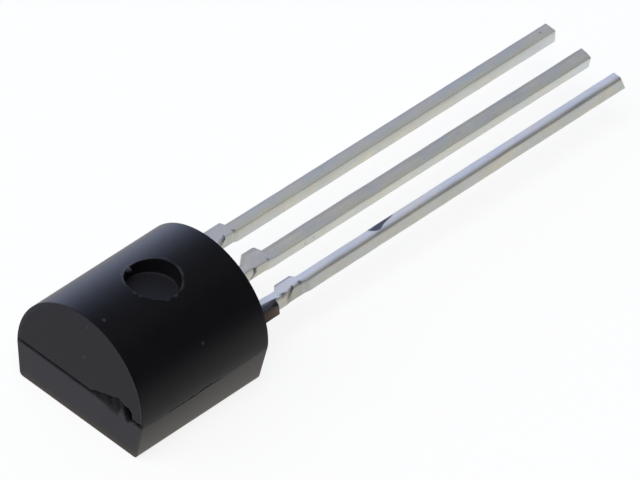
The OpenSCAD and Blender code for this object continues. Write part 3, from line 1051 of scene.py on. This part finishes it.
# The room's colour by how far a direction turns towards that light: 0 is away, 1 is into it.
ROOM = (
    (0.0, (0.11, 0.11, 0.13)), (0.671, (0.14, 0.14, 0.18)), (0.787, (0.2, 0.2, 0.28)),
    (0.86, (0.36, 0.38, 0.58)), (0.91, (0.64, 0.7, 1.02)), (0.953, (0.95, 1.06, 1.5)),
    (0.98, (1.25, 1.42, 2.05)), (1.0, (1.25, 1.42, 2.05)),
)
# The table's half width and how far it lies below the part, and the camera's clipping, in metres.
TABLE_HALF = 1.0
TABLE_GAP = 0.00001
CLIP = (0.01, 3.0)
# The camera as solved from the photograph: lens and sensor, its angles, and what it looks at.
LENS, SENSOR = 562.5, 36.0
AZIMUTH, ELEVATION, ROLL = (math.radians(a) for a in (40.3407, 42.2341, 5.3982))
LOOK_AT, DISTANCE = (0.390, 6.121, 1.2), 258.25


def table_shine(n):
    """What the table shows in reflections, by place.

    It is pale near the part, brightest right beside the body, cool far to the left behind and dim far to
    the right. The limits are distances in metres along a direction.
    """
    metres = n.add("TexCoord", {}, "Object")

    def ramp(direction, start, end):
        return n.remap(n.measure("DOT_PRODUCT", metres, direction), start, end)

    right, behind = (1.0, 0.0, 0.0), (0.0, 1.0, 0.0)
    before_end = n.mix(ramp(behind, -0.00245, -0.00232), (0.77, 0.77, 0.81, 1), (1.1, 1.0, 0.9, 1))
    near = n.mix(ramp(behind, -0.0023, -0.0021), before_end, (0.72, 0.72, 0.71, 1))
    beside = n.mix(ramp(right, 0.0022, 0.0028), (1.3, 1.22, 1.14, 1), (0.56, 0.56, 0.56, 1))
    near = n.mix(n.times(ramp(right, 0.0018, 0.0021), ramp(behind, 0.0045, 0.0032)), near, beside)
    far_right = n.mix(ramp(right, 0.0045, 0.01), near, (0.32, 0.31, 0.34, 1))
    along_leads = n.mix(ramp(right, 0.001, 0.004), (0.755, 0.755, 0.75, 1), (1.05, 1.05, 1.02, 1))
    leads = n.mix(n.times(ramp(behind, 0.005, 0.008), ramp(right, 0.01, 0.006)), far_right, along_leads)
    return n.mix(ramp(GLOW_DIRECTION, 0.007, 0.028), leads, (1.22, 1.4, 2.05, 1))


def table_material():
    """White to the camera, pale in reflections, and lit and shadowed like any card."""
    n = Nodes(bpy.data.materials.new("white_table"))
    surface = n.add("BsdfDiffuse", {"Color": (0.8, 0.8, 0.79, 1)})
    glows = (("Glossy", 1.0, table_shine(n)), ("Transmission", 0.8, WHITE), ("Camera", 0.82, WHITE))
    for ray, strength, colour in glows:
        faint = n.add("BsdfDiffuse", {"Color": (0.2, 0.2, 0.2, 1)})
        glow = n.add("Emission", {"Color": colour, "Strength": strength})
        both = n.add("AddShader", {0: faint, 1: glow})
        surface = n.add("MixShader", {0: n.add("LightPath", {}, f"Is {ray} Ray"), 1: surface, 2: both})
    return n.close("Material", surface)


def build_floor():
    half = TABLE_HALF
    mesh = bpy.data.meshes.new("floor")
    corners = [(-half, -half, 0), (half, -half, 0), (half, half, 0), (-half, half, 0)]
    mesh.from_pydata(corners, [], [(0, 1, 2, 3)])
    floor = new_object("floor", mesh)
    floor.location.z = -TABLE_GAP
    mesh.materials.append(table_material())


def build_world():
    """A dim room with a broad cool glow low on the left behind, and white where the camera sees it."""
    world = bpy.data.worlds.new("studio")
    bpy.context.scene.world = world
    n = Nodes(world)
    towards = n.measure("DOT_PRODUCT", n.add("TexCoord", {}, "Generated"), GLOW_DIRECTION)
    room = n.add("ValToRGB", {0: n.remap(towards, -1.0, 1.0)})
    stops = room.node.color_ramp.elements
    while len(stops) < len(ROOM):
        stops.new(0.5)
    for stop, (turned, level) in zip(stops, ROOM):
        stop.position = turned
        stop.color = (*level, 1)
    dim = n.add("Background", {"Color": room})
    white = n.add("Background", {"Color": WHITE})
    seen = n.add("LightPath", {}, "Is Camera Ray")
    n.close("World", n.add("MixShader", {0: seen, 1: dim, 2: white}))


def softbox(name, direction, distance, size, watts, colour):
    """A rectangular light that faces the part; its distance and size are in metres."""
    light = bpy.data.lights.new(name, "AREA")
    light.shape = "RECTANGLE"
    light.size, light.size_y = size
    light.energy = watts
    light.color = colour
    obj = new_object(name, light)
    direction = Vector(direction).normalized()
    obj.location = direction * distance
    obj.rotation_mode = "QUATERNION"
    obj.rotation_quaternion = direction.to_track_quat("Z", "Y")


def build_lights():
    softbox("overhead", (0.1, -0.25, 1.0), 0.32, (0.26, 0.26), 0.64, (0.97, 1.0, 0.95))
    softbox("front_left", (-0.7, -0.8, 0.75), 0.4, (0.3, 0.3), 0.5, (0.95, 0.98, 1.0))


def build_camera():
    """Looks down over the plain end from the right, at the photograph's angle and framing."""
    camera = bpy.data.cameras.new("camera")
    camera.sensor_width = SENSOR
    camera.lens = LENS
    camera.clip_start, camera.clip_end = CLIP
    obj = new_object("camera", camera)
    level = math.cos(ELEVATION)
    back = Vector((math.sin(AZIMUTH) * level, -math.cos(AZIMUTH) * level, math.sin(ELEVATION)))
    obj.location = Vector(LOOK_AT) * MM + back * DISTANCE * MM
    obj.rotation_mode = "QUATERNION"
    obj.rotation_quaternion = back.to_track_quat("Z", "Y") @ Matrix.Rotation(ROLL, 3, "Z").to_quaternion()
    bpy.context.scene.camera = obj


build_camera()
body = build_body()
leads = build_leads()

paint(body, epoxy_material())
tin = tin_material()
for lead in leads:
    paint(lead, tin)
gold = plain_metal("bond_gold", rgb(196, 152, 62), rgb(236, 198, 110), 60.0, 0.25)
for node in ("bond_wire_left", "bond_wire_right"):
    paint(nodes[node], gold)
paint(nodes["die_attach"], plain_metal("silver_adhesive", rgb(110, 112, 116), rgb(160, 161, 164), 45.0, 0.55))
paint(nodes["die"], silicon_material())

build_floor()
build_world()
build_lights()
bpy.context.scene.view_settings.view_transform = "Standard"
